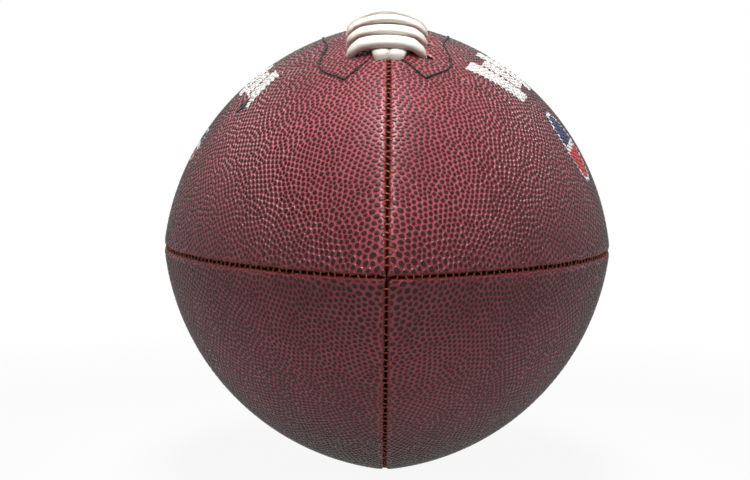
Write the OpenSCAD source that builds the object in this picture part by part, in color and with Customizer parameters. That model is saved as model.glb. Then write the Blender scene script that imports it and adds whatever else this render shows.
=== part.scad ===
/* [Ball] */
// Length of the ball from tip to tip
ball_length = 285; // [276:1:292]
// Radius of the section at the four seams, at mid length
seam_radius = 87.5; // [86.5:0.5:88.5]
// Radius of the section at the middle of a panel, at mid length
panel_radius = 84; // [82.5:0.5:84.5]
// Radius of the small round nose at each tip
nose_radius = 12; // [11:0.5:15]

/* [Leather panels] */
// Thickness of the pebbled leather
leather_wall = 2; // [1.8:0.1:2.3]
// Half width of the groove where two panels roll into a seam
groove_half = 2; // [1.6:0.1:2.4]
// Depth of that groove at the seam
groove_depth = 1.6; // [1.2:0.1:1.7]

/* [Lining and bladder] */
// Thickness of the woven lining sewn behind each panel
lining_wall = 0.9; // [0.7:0.1:1]
// Clearance between one soft layer and the next
layer_gap = 0.1; // [0.05:0.05:0.15]
// Clearance around a piece let into the lining
edge_gap = 0.4; // [0.2:0.1:0.8]
// Thickness of the rubber bladder
bladder_wall = 0.7; // [0.6:0.1:1]

/* [Seam thread] */
// Radius of the waxed thread in the seams
thread_radius = 0.45; // [0.35:0.05:0.5]
// Distance from one seam stitch to the next
stitch_pitch = 3.2; // [2.8:0.1:4]
// Depth of a stitch's middle below the edge of the groove
stitch_depth = 1.2; // [0.9:0.1:1.4]
// How far a stitch reaches into the leather on each side
stitch_reach = 1.8; // [1.4:0.1:1.9]
// Distance from the ball's tip to the last stitch, along the axis
tip_margin = 7; // [5:0.5:12]
// Distance from one lining stitch to the next
lining_stitch_pitch = 6; // [5:0.5:8]
// Distance of the lining stitches from the seam
lining_stitch_inset = 5; // [4:0.5:7]

/* [Lacing] */
// Number of cross bars of lace
bar_count = 8; // [6:2:8]
// Distance from one cross bar to the next along the ball
bar_pitch = 16.4; // [14:0.2:17]
// Width of the lace where it lies flat in a cross bar
bar_width = 7.6; // [6:0.2:8]
// Thickness of a cross bar
bar_thick = 2.4; // [2:0.1:2.6]
// Width of each of the two lengthwise strands under the bars
strand_width = 6.4; // [5.6:0.2:6.6]
// Thickness of a lengthwise strand
strand_thick = 2.1; // [1.6:0.1:2.2]
// Distance of the lace holes from the seam
hole_offset = 14; // [13:0.5:15]
// Radius of a lace hole through the leather and its facing
hole_radius = 2.6; // [2.4:0.1:2.8]
// Radius of the lace where it is drawn together in a hole
leg_radius = 2.2; // [1.8:0.1:2.3]
// Distance of the strands' end holes past the last cross bar
end_hole_reach = 6.5; // [6:0.5:8]
// Width of the lace where it runs along under the facing
under_width = 4; // [3.4:0.2:4.2]
// Thickness of the lace there
under_thick = 1.2; // [1:0.1:1.3]

/* [Lace facing] */
// Distance of the facing's stitch line from the seam
facing_width = 24.4; // [22:0.4:26]
// Distance of the stitch line's corners from mid length
facing_half = 75; // [72:1:78]
// Thickness of the facing under each edge of the slit
facing_wall = 1.1; // [0.9:0.1:1.2]
// Leather left outside the facing's stitch line
facing_margin = 2.5; // [2:0.5:3]
// Distance from one stitch of the facing to the next
facing_stitch_pitch = 3; // [2.6:0.1:3.6]
// Length of one stitch of the facing
facing_stitch_length = 2.4; // [2:0.1:2.5]
// Radius of the facing's dark thread
facing_thread_radius = 0.4; // [0.3:0.05:0.5]
// Half width of the tongue under the slit
tongue_half = 10.5; // [8:0.5:11]
// Thickness of the tongue
tongue_wall = 1.2; // [1:0.1:1.4]

/* [Valve] */
// Distance of the valve from mid length
valve_place = 42; // [36:1:48]
// Radius of the valve's hole in the leather
valve_hole_radius = 3.6; // [3.4:0.1:4]
// Radius of the housing's neck in that hole
neck_radius = 3.3; // [3:0.1:3.3]
// Radius of the housing's boss inside the bladder
boss_radius = 5; // [4.5:0.5:6]
// Length of the boss below the bladder's outside
boss_length = 12; // [11:0.5:14]
// Radius of the housing's flange inside the bladder
flange_radius = 9; // [8:0.5:12]
// Thickness of that flange
flange_wall = 1.2; // [1:0.1:1.5]
// Radius of the plug's shank
plug_radius = 2.45; // [2.2:0.05:2.45]
// Running clearance between the plug and its housing
plug_gap = 0.05; // [0.03:0.01:0.08]
// Radius of the plug's head
plug_head_radius = 3; // [2.8:0.1:3.2]
// Thickness of the plug's head
plug_head_wall = 0.8; // [0.6:0.1:1]
// Depth of the plug's head below the leather's outside
plug_recess = 0.3; // [0.2:0.1:0.5]
// Radius of the passage for an inflating needle
needle_radius = 1; // [0.9:0.05:1.1]
// Depth of that passage
needle_depth = 9.5; // [8:0.5:10]
// Radius of the backing patch behind the leather at the valve
backing_radius = 11; // [9:0.5:13]

/* [Hidden] */

// Number of sides that stand for a full circle in the preview
round_sides = 180;
// Length by which a cut runs past what it cuts
overrun = 1;
// Edge of a block larger than a quarter of the ball
block = ball_length;
half_length = ball_length / 2;

// The section is four arcs, each about an axis that lies across the ball from its panel
section_offset = (seam_radius * seam_radius - panel_radius * panel_radius)
    / (2 * panel_radius - sqrt(2) * seam_radius);
axis_shift = section_offset / sqrt(2);

// The long outline of a panel is one arc that crosses the nose's arc almost in line with it
nose_centre = half_length - nose_radius;
nose_line_share = 0.998;
nose_line = nose_radius * nose_line_share;
belly_arc = (panel_radius * panel_radius + nose_centre * nose_centre - nose_line * nose_line)
    / (2 * (panel_radius - nose_line));
arc_drop = belly_arc - panel_radius;
nose_angle = atan2(nose_centre, arc_drop);

// Radius of a panel's outline at a distance along the ball
function panel_outline(along) = sqrt(belly_arc * belly_arc - along * along) - arc_drop;
// Height of the upper right panel over the ball's axis
function surface_height(across, along) =
    sqrt(pow(panel_outline(along) + section_offset, 2) - pow(across + axis_shift, 2)) - axis_shift;
// How far the panel lies below the seam at a distance across, at mid length
function section_drop(across) = seam_radius - surface_height(across, 0);
// Tilt of the panel there
function section_tilt(across) = asin((across + axis_shift) / (panel_radius + section_offset));

// A seam lies on one arc, taken through mid length and a place near the tip
seam_fit_share = 0.8;
seam_fit = half_length * seam_fit_share;
seam_sag = seam_radius - surface_height(0, seam_fit);
seam_arc = (seam_sag * seam_sag + seam_fit * seam_fit) / (2 * seam_sag);
degrees_per_length = 180 / (PI * seam_arc);

// Places across and down the rolled edge of a panel
roll_shares = [[0.6, 0.27], [0.25, 0.55], [0, 1]];
// How far the cut's outer face runs on past the rim, as a share of its last step
rim_reach_share = 4;
rest_height = seam_radius - section_drop(groove_half);

lining_depth = leather_wall + layer_gap;
bladder_depth = lining_depth + lining_wall + 2 * layer_gap;
room_depth = bladder_depth - layer_gap;
facing_floor = lining_depth + facing_wall;
tongue_depth = facing_floor + layer_gap;

lacing_angle = bar_pitch * degrees_per_length;
last_bar = (bar_count - 1) / 2;
end_hole_angle = last_bar * lacing_angle + end_hole_reach * degrees_per_length;
slit_half = seam_arc * sin(end_hole_angle) + 2 * hole_radius;
slit_gap = 2 * layer_gap;
tongue_end = seam_arc * sin(last_bar * lacing_angle) - hole_radius;

// The arch of a cross bar, over the strands and down to the lace holes
bar_floor = strand_thick + 2 * layer_gap;
bar_foot = bar_thick / 2 - section_drop(hole_offset);
// A bar clears the strands under it, and still arches where the leather beside them stands higher
arch_least_rise = 1.5;
arch_rise = max(bar_floor + bar_thick / 2 - bar_foot, arch_least_rise);
bar_crown = bar_foot + arch_rise + bar_thick / 2;
arch_radius = (hole_offset * hole_offset + arch_rise * arch_rise) / (2 * arch_rise);
arch_centre = bar_foot + arch_rise - arch_radius;

strand_centre = strand_width / 2 + 2 * layer_gap;
strand_tilt = section_tilt(strand_centre);
strand_lift = (strand_thick / 2 + layer_gap) / cos(strand_tilt) - section_drop(strand_centre);
end_leg_share = 0.8;
end_leg_radius = strand_thick * end_leg_share;
under_floor_drop = facing_floor + 2 * layer_gap + under_thick / 2;
under_lift = -section_drop(hole_offset) - under_floor_drop / cos(section_tilt(hole_offset));
link_lift = -section_drop(strand_centre) - under_floor_drop / cos(strand_tilt);
leg_foot = under_lift - under_thick / 2 + layer_gap;

// Places of the facing's stitch line: across the ball and along it
facing_shares = [
    [0.26, 0.865], [0.6, 1], [0.88, 0.87], [0.97, 0.8], [1, 0.72], [0.97, 0.62], [0.91, 0.5],
    [0.92, 0.4], [0.98, 0.25], [1, 0.1]
];
facing_root_share = 0.8;
stitch_lift = facing_thread_radius / 4;

neck_recess = plug_recess + plug_head_wall + layer_gap;
bore_radius = plug_radius + plug_gap;
valve_floor = bladder_depth + boss_length;
valve_angle = asin(valve_place / belly_arc);

leather_colour = [0.38, 0.17, 0.15];
lining_colour = [0.72, 0.68, 0.6];
seam_thread_colour = [0.72, 0.32, 0.16];
facing_thread_colour = [0.1, 0.09, 0.09];
lace_colour = [0.93, 0.92, 0.9];
facing_colour = [0.55, 0.5, 0.44];
rubber_colour = [0.08, 0.08, 0.08];

// The outline from the ball's axis out to a surface at a depth, moved out by shift
module half_section(depth, shift) {
    join = (belly_arc - depth) * sin(nose_angle);
    reach = half_length - depth;
    intersection() {
        translate([0, -block])
            square([block, 2 * block]);
        translate([shift - arc_drop, 0])
            circle(r = belly_arc - depth, $fn = round_sides);
        union() {
            translate([0, -join])
                square([block, 2 * join]);
            for (side = [-1, 1])
                intersection() {
                    translate([shift, side * nose_centre])
                        circle(r = nose_radius - depth, $fn = round_sides);
                    translate([shift, side > 0 ? 0 : -block])
                        square([block, block]);
                }
            if (shift > 0)
                translate([0, -reach])
                    square([shift, 2 * reach]);
        }
    }
}

// Everything below a depth under the upper right panel, turned about that panel's own axis
module panel_body(depth) {
    translate([-axis_shift, 0, -axis_shift])
        rotate([-90, 0, 0])
            rotate_extrude($fn = round_sides)
                half_section(depth, section_offset);
}

// The layer between two depths under the upper right panel
module panel_layer(outer, inner) {
    translate([-axis_shift, 0, -axis_shift])
        rotate([-90, 0, 0])
            rotate_extrude($fn = round_sides)
                difference() {
                    half_section(outer, section_offset);
                    half_section(inner, section_offset);
                }
}

// Everything below a depth, round about the ball's axis
module round_body(depth) {
    rotate([-90, 0, 0])
        rotate_extrude($fn = round_sides)
            half_section(depth, 0);
}

module round_layer(outer, inner) {
    rotate([-90, 0, 0])
        rotate_extrude($fn = round_sides)
            difference() {
                half_section(outer, 0);
                half_section(inner, 0);
            }
}

// The upper right quarter of space, from an inset in from both seams
module quarter_block(inset) {
    translate([inset, -block / 2 - overrun, inset])
        cube([block, block + 2 * overrun, block]);
}

// Places a child on the top seam, its Z pointing out of the ball
module on_seam(angle) {
    translate([0, 0, seam_radius - seam_arc])
        rotate([-angle, 0, 0])
            translate([0, 0, seam_arc])
                children();
}

// Turns a flat shape, drawn as height over the seam and place across, along the top seam
module along_seam() {
    translate([0, 0, seam_radius - seam_arc])
        rotate([0, 90, 0])
            rotate_extrude($fn = round_sides)
                children();
}

// A wedge of space between two angles along the top seam
module seam_wedge(from, to) {
    far = 2 * seam_arc;
    translate([-block / 2, 0, seam_radius - seam_arc])
        rotate([90, 0, 90])
            linear_extrude(height = block)
                polygon([[0, 0], [far * sin(from), far * cos(from)], [far * sin(to), far * cos(to)]]);
}

// Stands the ball on its lowest point
module on_ground() {
    translate([0, 0, rest_height])
        children();
}

// The rolled groove along the top seam, its places given across and down from the seam
module groove_cut() {
    roll = [for (share = roll_shares) [share[0] * groove_half, share[1] * groove_depth]];
    rim = [groove_half, section_drop(groove_half)];
    outer = rim + (rim - roll[0]) * rim_reach_share;
    right = concat([outer], roll);
    along_seam()
        polygon(concat(
            [for (place = right) [seam_arc - place[1], place[0]]],
            [for (i = [len(right) - 2:-1:0]) [seam_arc - right[i][1], -right[i][0]]]
        ));
}

// One panel's leather: the shell, with its edges turned in as flanges along both seams
module panel_leather() {
    difference() {
        intersection() {
            panel_body(0);
            quarter_block(0);
        }
        intersection() {
            panel_body(leather_wall);
            quarter_block(leather_wall);
        }
        round_body(room_depth);
        groove_cut();
        rotate([0, 90, 0])
            groove_cut();
    }
}

// A hole through the layers at a distance across from the seam
module lace_hole(radius, across) {
    translate([across, 0, -section_drop(across) - 2 * bladder_depth])
        cylinder(r = radius, h = 4 * bladder_depth, $fn = 48);
}

// The lace holes of the right side
module lace_holes(radius) {
    for (i = [0:bar_count - 1])
        on_seam((i - last_bar) * lacing_angle)
            lace_hole(radius, hole_offset);
    for (side = [-1, 1])
        on_seam(side * end_hole_angle)
            lace_hole(radius, strand_centre);
}

// A panel beside the lacing: no flange along the slit, and its row of lace holes
module panel_laced() {
    difference() {
        panel_leather();
        intersection() {
            panel_body(leather_wall);
            translate([-overrun, -slit_half, seam_radius / 2])
                cube([leather_wall + 2 * overrun, 2 * slit_half, block]);
        }
        translate([-overrun, -slit_half, seam_radius / 2])
            cube([overrun + slit_gap / 2, 2 * slit_half, block]);
        lace_holes(hole_radius);
    }
}

// The facing's outline, grown outwards by a margin
function facing_line(grow) = [
    for (share = facing_shares) [share[0] * (facing_width + grow), -share[1] * (facing_half + grow)]
];
function reversed(list) = [for (i = [len(list) - 1:-1:0]) list[i]];
function facing_points(grow) = concat(
    facing_line(grow),
    [for (point = reversed(facing_line(grow))) [point[0], -point[1]]]
);

// A block over the facing, seen from above
module facing_block(grow, inset) {
    root = facing_root_share * (facing_half + grow);
    linear_extrude(height = block)
        polygon(concat([[inset, -root]], facing_points(grow), [[inset, root]]));
}

module lining_cloth() {
    intersection() {
        panel_layer(lining_depth, lining_depth + lining_wall);
        quarter_block(leather_wall + layer_gap);
    }
}

module lining_laced() {
    difference() {
        lining_cloth();
        facing_block(facing_margin + edge_gap, -overrun);
    }
}

module facing_strip() {
    difference() {
        intersection() {
            panel_layer(lining_depth, facing_floor);
            facing_block(facing_margin, slit_gap / 2);
        }
        lace_holes(hole_radius);
        for (side = [-1, 1])
            translate([-overrun, side > 0 ? slit_half - layer_gap : -block, 0])
                cube([overrun + leather_wall + 2 * layer_gap, block - slit_half + layer_gap, block]);
    }
}

// Stitches from one angle to another along the top seam, each across the groove
module seam_stitches(from, to) {
    count = floor((to - from) / (stitch_pitch * degrees_per_length));
    step = (to - from) / count;
    color(seam_thread_colour)
        for (i = [0:count])
            on_seam(from + i * step)
                translate([-stitch_reach, 0, -stitch_depth])
                    rotate([0, 90, 0])
                        cylinder(r = thread_radius, h = 2 * stitch_reach, $fn = 8);
}

tip_angle = asin((half_length - tip_margin) / seam_arc);
slit_angle = asin((slit_half + 2 * thread_radius) / seam_arc);

// Stitches that hold the lining to one panel, along the top seam's side of it
module lining_row(from, to) {
    count = floor((to - from) / (lining_stitch_pitch * degrees_per_length));
    step = (to - from) / count;
    top = -section_drop(lining_stitch_inset) - leather_wall / 2;
    floor_height = -section_drop(lining_stitch_inset) - lining_depth - lining_wall;
    for (i = [0:count])
        on_seam(from + i * step)
            translate([lining_stitch_inset, 0, floor_height])
                cylinder(r = thread_radius, h = top - floor_height, $fn = 8);
}

lining_row_end = asin((half_length - 3 * tip_margin) / seam_arc);
facing_end = asin((facing_half + facing_margin + 2 * lining_stitch_pitch) / seam_arc);

module lining_stitches_lower() {
    lining_row(-lining_row_end, lining_row_end);
    rotate([0, 90, 0])
        mirror([1, 0, 0])
            lining_row(-lining_row_end, lining_row_end);
}

module lining_stitches_upper() {
    lining_row(-lining_row_end, -facing_end);
    lining_row(facing_end, lining_row_end);
    rotate([0, 90, 0])
        mirror([1, 0, 0])
            lining_row(-lining_row_end, lining_row_end);
}

// Places along a line of points
function line_lengths(points, i = 0, sum = 0) = i == len(points) - 1
    ? [sum]
    : concat([sum], line_lengths(points, i + 1, sum + norm(points[i + 1] - points[i])));
function line_point(points, lengths, place, i = 0) =
    i == len(points) - 2 || place <= lengths[i + 1]
    ? points[i] + (points[i + 1] - points[i]) * (place - lengths[i]) / (lengths[i + 1] - lengths[i])
    : line_point(points, lengths, place, i + 1);

// A place on the upper right panel, lifted along the panel's normal
function on_leather(place, lift) =
    let (height = surface_height(place[0], place[1]),
         slope = asin(place[1] / belly_arc),
         turn = atan2(place[0] + axis_shift, height + axis_shift))
    [place[0], place[1], height] + lift * [cos(slope) * sin(turn), sin(slope), cos(slope) * cos(turn)];

module facing_stitches() {
    points = facing_points(0);
    lengths = line_lengths(points);
    total = lengths[len(lengths) - 1];
    count = floor((total - facing_stitch_length) / facing_stitch_pitch);
    step = (total - facing_stitch_length) / count;
    color(facing_thread_colour)
        for (i = [0:count]) {
            start = on_leather(line_point(points, lengths, i * step), stitch_lift);
            end = on_leather(line_point(points, lengths, i * step + facing_stitch_length), stitch_lift);
            way = end - start;
            translate(start)
                rotate([0, acos(way[2] / norm(way)), atan2(way[1], way[0])])
                    cylinder(r = facing_thread_radius, h = norm(way), $fn = 6);
        }
}

// A flat lace's section, with round edges, centred on its own middle
module lace_section(width, thick) {
    square([thick, width - thick], center = true);
    for (side = [-1, 1])
        translate([0, side * (width - thick) / 2])
            circle(r = thick / 2, $fn = 32);
}

// The upper half of the ball, grown outwards by a clearance
module upper_ball(clearance) {
    for (side = [0, 1])
        mirror([side, 0, 0])
            intersection() {
                panel_body(-clearance);
                quarter_block(0);
            }
}

// One cross bar: an arch about an axis along the ball
module lace_bar() {
    reach = hole_offset + leg_radius;
    low = -2 * bar_thick - section_drop(hole_offset);
    intersection() {
        translate([0, 0, arch_centre])
            rotate([90, 0, 0])
                rotate_extrude($fn = 96)
                    translate([arch_radius, 0])
                        lace_section(bar_width, bar_thick);
        translate([-reach, -bar_width, low])
            cube([2 * reach, 2 * bar_width, 2 * bar_crown - low]);
    }
}

// The lace drawn together down through one hole
module lace_leg(side) {
    top = -section_drop(hole_offset) + bar_thick / 2;
    translate([side * hole_offset, 0, leg_foot])
        cylinder(r = leg_radius, h = top - leg_foot, $fn = 48);
}

// The lace under the facing, from one hole to the next on the same side
module under_run(side, from, to) {
    intersection() {
        along_seam()
            translate([seam_arc + under_lift, side * hole_offset])
                rotate([0, 0, side * section_tilt(hole_offset)])
                    square([under_thick, under_width], center = true);
        seam_wedge(from, to);
    }
}

// One lengthwise strand over the slit, under the bars
module lace_strand(side) {
    intersection() {
        along_seam()
            translate([seam_arc + strand_lift, side * strand_centre])
                rotate([0, 0, side * strand_tilt])
                    lace_section(strand_width, strand_thick);
        seam_wedge(-end_hole_angle, end_hole_angle);
    }
    top = strand_lift + strand_thick / 3;
    foot = link_lift - under_thick / 2;
    for (end = [-1, 1])
        on_seam(end * end_hole_angle)
            translate([side * strand_centre, 0, foot])
                cylinder(r = end_leg_radius, h = top - foot, $fn = 48);
}

// The link under the leather between the two strands, at the far end of the lacing
module strand_link() {
    on_seam(end_hole_angle)
        translate([-strand_centre, -under_width / 2, link_lift - under_thick / 2])
            cube([2 * strand_centre, under_width, under_thick]);
}

// The link under the facing from a strand's near end to the first cross bar
module start_link() {
    link_angle = last_bar * lacing_angle;
    drop = under_lift - link_lift;
    run = hole_offset - strand_centre;
    on_seam(-end_hole_angle)
        translate([strand_centre, 0, link_lift])
            rotate([0, -atan2(drop, run), 0])
                translate([0, -under_width / 2, -under_thick / 2])
                    cube([norm([run, drop]), under_width, under_thick]);
    under_run(1, -end_hole_angle, -link_angle);
}

module on_left() {
    mirror([1, 0, 0])
        children();
}

module on_lower() {
    mirror([0, 0, 1])
        children();
}

// Places a child at the valve, on the middle of the upper left panel, its Z pointing out
module at_valve() {
    rotate([0, -45, 0])
        translate([0, 0, -arc_drop])
            rotate([valve_angle, 0, 0])
                translate([0, 0, belly_arc])
                    children();
}

module valve_hole(radius) {
    at_valve()
        translate([0, 0, -valve_floor])
            cylinder(r = radius, h = 2 * valve_floor, $fn = 64);
}

module panel_upper_left() {
    color(leather_colour)
        on_ground()
            difference() {
                on_left()
                    panel_laced();
                valve_hole(valve_hole_radius);
            }
}

module panel_upper_right() {
    color(leather_colour)
        on_ground()
            panel_laced();
}

module panel_lower_left() {
    color(leather_colour)
        on_ground()
            on_lower()
                on_left()
                    panel_leather();
}

module panel_lower_right() {
    color(leather_colour)
        on_ground()
            on_lower()
                panel_leather();
}

module lining_upper_left() {
    color(lining_colour)
        on_ground()
            difference() {
                on_left()
                    lining_laced();
                valve_hole(backing_radius + edge_gap);
            }
}

module lining_upper_right() {
    color(lining_colour)
        on_ground()
            lining_laced();
}

module lining_lower_left() {
    color(lining_colour)
        on_ground()
            on_lower()
                on_left()
                    lining_cloth();
}

module lining_lower_right() {
    color(lining_colour)
        on_ground()
            on_lower()
                lining_cloth();
}

module lining_stitching_upper_left() {
    color(lining_colour)
        on_ground()
            on_left()
                lining_stitches_upper();
}

module lining_stitching_upper_right() {
    color(lining_colour)
        on_ground()
            lining_stitches_upper();
}

module lining_stitching_lower_left() {
    color(lining_colour)
        on_ground()
            on_lower()
                on_left()
                    lining_stitches_lower();
}

module lining_stitching_lower_right() {
    color(lining_colour)
        on_ground()
            on_lower()
                lining_stitches_lower();
}

module seam_stitching_top_front() {
    on_ground()
        seam_stitches(-tip_angle, -slit_angle);
}

module seam_stitching_top_rear() {
    on_ground()
        seam_stitches(slit_angle, tip_angle);
}

module seam_stitching_bottom() {
    on_ground()
        rotate([0, 180, 0])
            seam_stitches(-tip_angle, tip_angle);
}

module seam_stitching_left() {
    on_ground()
        rotate([0, -90, 0])
            seam_stitches(-tip_angle, tip_angle);
}

module seam_stitching_right() {
    on_ground()
        rotate([0, 90, 0])
            seam_stitches(-tip_angle, tip_angle);
}

module lace_facing_left() {
    color(facing_colour)
        on_ground()
            on_left()
                facing_strip();
}

module lace_facing_right() {
    color(facing_colour)
        on_ground()
            facing_strip();
}

module facing_stitching_left() {
    on_ground()
        on_left()
            facing_stitches();
}

module facing_stitching_right() {
    on_ground()
        facing_stitches();
}

module lace() {
    color(lace_colour)
        on_ground() {
            difference() {
                for (i = [0:bar_count - 1])
                    on_seam((i - last_bar) * lacing_angle)
                        lace_bar();
                upper_ball(layer_gap);
            }
            for (i = [0:bar_count - 1])
                for (side = [-1, 1])
                    on_seam((i - last_bar) * lacing_angle)
                        lace_leg(side);
            for (i = [0:bar_count - 2]) {
                from = (i - last_bar) * lacing_angle;
                under_run(i % 2 == 0 ? -1 : 1, from, from + lacing_angle);
            }
            for (side = [-1, 1])
                lace_strand(side);
            strand_link();
            start_link();
        }
}

module lace_tongue() {
    color(facing_colour)
        on_ground()
            for (side = [0, 1])
                mirror([side, 0, 0])
                    intersection() {
                        panel_layer(tongue_depth, tongue_depth + tongue_wall);
                        translate([0, -tongue_end, seam_radius / 2])
                            cube([tongue_half, 2 * tongue_end, block]);
                    }
}

module bladder() {
    color(rubber_colour)
        on_ground()
            difference() {
                round_layer(bladder_depth, bladder_depth + bladder_wall);
                valve_hole(boss_radius + layer_gap);
            }
}

module valve_housing() {
    color(rubber_colour)
        on_ground()
            difference() {
                union() {
                    at_valve()
                        translate([0, 0, -valve_floor])
                            cylinder(r = boss_radius, h = boss_length, $fn = 64);
                    at_valve()
                        translate([0, 0, -valve_floor])
                            cylinder(r = neck_radius, h = valve_floor - neck_recess, $fn = 64);
                    intersection() {
                        round_layer(bladder_depth + bladder_wall + layer_gap,
                            bladder_depth + bladder_wall + layer_gap + flange_wall);
                        at_valve()
                            translate([0, 0, -valve_floor])
                                cylinder(r = flange_radius, h = valve_floor, $fn = 64);
                    }
                }
                valve_hole(bore_radius);
            }
}

module valve_plug() {
    color(rubber_colour)
        on_ground()
            at_valve()
                difference() {
                    union() {
                        translate([0, 0, -valve_floor])
                            cylinder(r = plug_radius, h = valve_floor - plug_recess, $fn = 64);
                        translate([0, 0, -plug_recess - plug_head_wall])
                            cylinder(r = plug_head_radius, h = plug_head_wall, $fn = 64);
                    }
                    translate([0, 0, -plug_recess - needle_depth])
                        cylinder(r = needle_radius, h = needle_depth + overrun, $fn = 64);
                }
}

module valve_backing() {
    color(facing_colour)
        on_ground()
            difference() {
                intersection() {
                    on_left()
                        panel_layer(lining_depth, lining_depth + lining_wall);
                    at_valve()
                        translate([0, 0, -valve_floor])
                            cylinder(r = backing_radius, h = 2 * valve_floor, $fn = 64);
                }
                valve_hole(valve_hole_radius);
            }
}

panel_upper_left();
panel_upper_right();
panel_lower_left();
panel_lower_right();
lining_upper_left();
lining_upper_right();
lining_lower_left();
lining_lower_right();
lining_stitching_upper_left();
lining_stitching_upper_right();
lining_stitching_lower_left();
lining_stitching_lower_right();
seam_stitching_top_front();
seam_stitching_top_rear();
seam_stitching_bottom();
seam_stitching_left();
seam_stitching_right();
lace_facing_left();
lace_facing_right();
facing_stitching_left();
facing_stitching_right();
lace();
lace_tongue();
bladder();
valve_housing();
valve_plug();
valve_backing();
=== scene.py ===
# %% [markdown]
# # An American football in pebbled leather
#
# The ball lies on its bottom seam and points one tip at the camera. Four leather panels meet at four
# seams, a white lace closes the top seam, and a rubber valve sits in the upper left panel. The packed
# frame gives the ball's place, its length and the height of its axis. The other sizes are in
# millimetres here, and most are the construction model's own.

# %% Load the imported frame
import math

import bmesh
import bpy
import numpy as np
from mathutils import Matrix, Vector
from mathutils.geometry import delaunay_2d_cdt


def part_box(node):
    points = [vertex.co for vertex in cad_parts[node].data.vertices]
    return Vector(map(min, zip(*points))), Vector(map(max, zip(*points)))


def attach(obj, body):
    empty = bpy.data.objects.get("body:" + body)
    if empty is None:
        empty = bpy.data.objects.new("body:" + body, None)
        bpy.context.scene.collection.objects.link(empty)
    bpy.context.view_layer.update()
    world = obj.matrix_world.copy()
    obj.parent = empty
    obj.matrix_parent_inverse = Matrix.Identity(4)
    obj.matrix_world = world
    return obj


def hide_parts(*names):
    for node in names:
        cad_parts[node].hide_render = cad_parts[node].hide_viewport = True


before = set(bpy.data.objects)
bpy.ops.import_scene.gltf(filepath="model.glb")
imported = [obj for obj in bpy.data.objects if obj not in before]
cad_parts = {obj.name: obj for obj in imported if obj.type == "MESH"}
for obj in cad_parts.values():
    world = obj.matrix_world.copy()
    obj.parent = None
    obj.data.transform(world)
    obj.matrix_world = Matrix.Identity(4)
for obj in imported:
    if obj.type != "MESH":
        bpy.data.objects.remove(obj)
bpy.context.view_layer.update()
scene = bpy.context.scene
MM = 0.001

# %% [markdown]
# ## The camera
#
# The photograph looks straight at one tip from a little above, through a long lens. A lens is matched
# by its distance first, since only the distance sets how fast the far half of the ball shrinks. The
# focal length then follows from the ball's width in the picture, and a small shift puts it in place.

# %% Camera at the photograph's viewing angle
AXIS_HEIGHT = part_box("panel_lower_right")[1].z
IMAGE_WIDTH = 750
IMAGE_HEIGHT = 480
VIEW_DISTANCE = 0.95
VIEW_RISE = math.radians(4.469)
VIEW_ROLL = math.radians(0.611)
FOCAL_PIXELS = 2397.6
BALL_CENTRE_PIXEL = (387.0, 244.9)

back = Vector((0, -math.cos(VIEW_RISE), math.sin(VIEW_RISE)))
camera_data = bpy.data.cameras.new("camera")
camera = bpy.data.objects.new("camera", camera_data)
scene.collection.objects.link(camera)
scene.camera = camera
turn = (-back).to_track_quat("-Z", "Y").to_matrix().to_4x4() @ Matrix.Rotation(VIEW_ROLL, 4, "Z")
camera.matrix_world = Matrix.Translation(Vector((0, 0, AXIS_HEIGHT)) + back * VIEW_DISTANCE) @ turn
camera_data.lens = FOCAL_PIXELS / IMAGE_WIDTH * camera_data.sensor_width
camera_data.shift_x = (IMAGE_WIDTH / 2 - BALL_CENTRE_PIXEL[0]) / IMAGE_WIDTH
camera_data.shift_y = (BALL_CENTRE_PIXEL[1] - IMAGE_HEIGHT / 2) / IMAGE_WIDTH
print("camera:", round(camera_data.lens, 1), "mm lens at", tuple(camera.location))

# %% [markdown]
# ## Maths on material sockets
#
# A pattern in a material is arithmetic on values that change over the surface. Wiring Math nodes by
# hand is slow to read, so a small class wraps a socket and lets Python's own operators add the nodes.
# Any other kind of node comes from one method, which takes its settings first and then its sockets.

# %% A value in a material, and a material that is being made
class Value:
    def __init__(self, nodes, socket):
        self.nodes = nodes
        self.socket = socket

    def maths(self, operation, *others):
        values = dict(enumerate([self, *others]))
        return self.nodes.node("ShaderNodeMath", {"operation": operation}, values)

    def __add__(self, other):
        return self.maths("ADD", other)

    __radd__ = __add__

    def __sub__(self, other):
        return self.maths("SUBTRACT", other)

    def __mul__(self, other):
        return self.maths("MULTIPLY", other)

    __rmul__ = __mul__

    def __truediv__(self, other):
        return self.maths("DIVIDE", other)

    def __abs__(self):
        return self.maths("ABSOLUTE")

    def most(self, other):
        return self.maths("MAXIMUM", other)

    def step(self, start, end):
        """0 below start, 1 above end and smooth between, or the other way round if end is lower."""
        settings = {"interpolation_type": "SMOOTHSTEP"}
        low, high, at_low = (start, end, 0) if start < end else (end, start, 1)
        values = {"Value": self, "From Min": low, "From Max": high, "To Min": at_low, "To Max": 1 - at_low}
        return self.nodes.node("ShaderNodeMapRange", settings, values)


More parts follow.
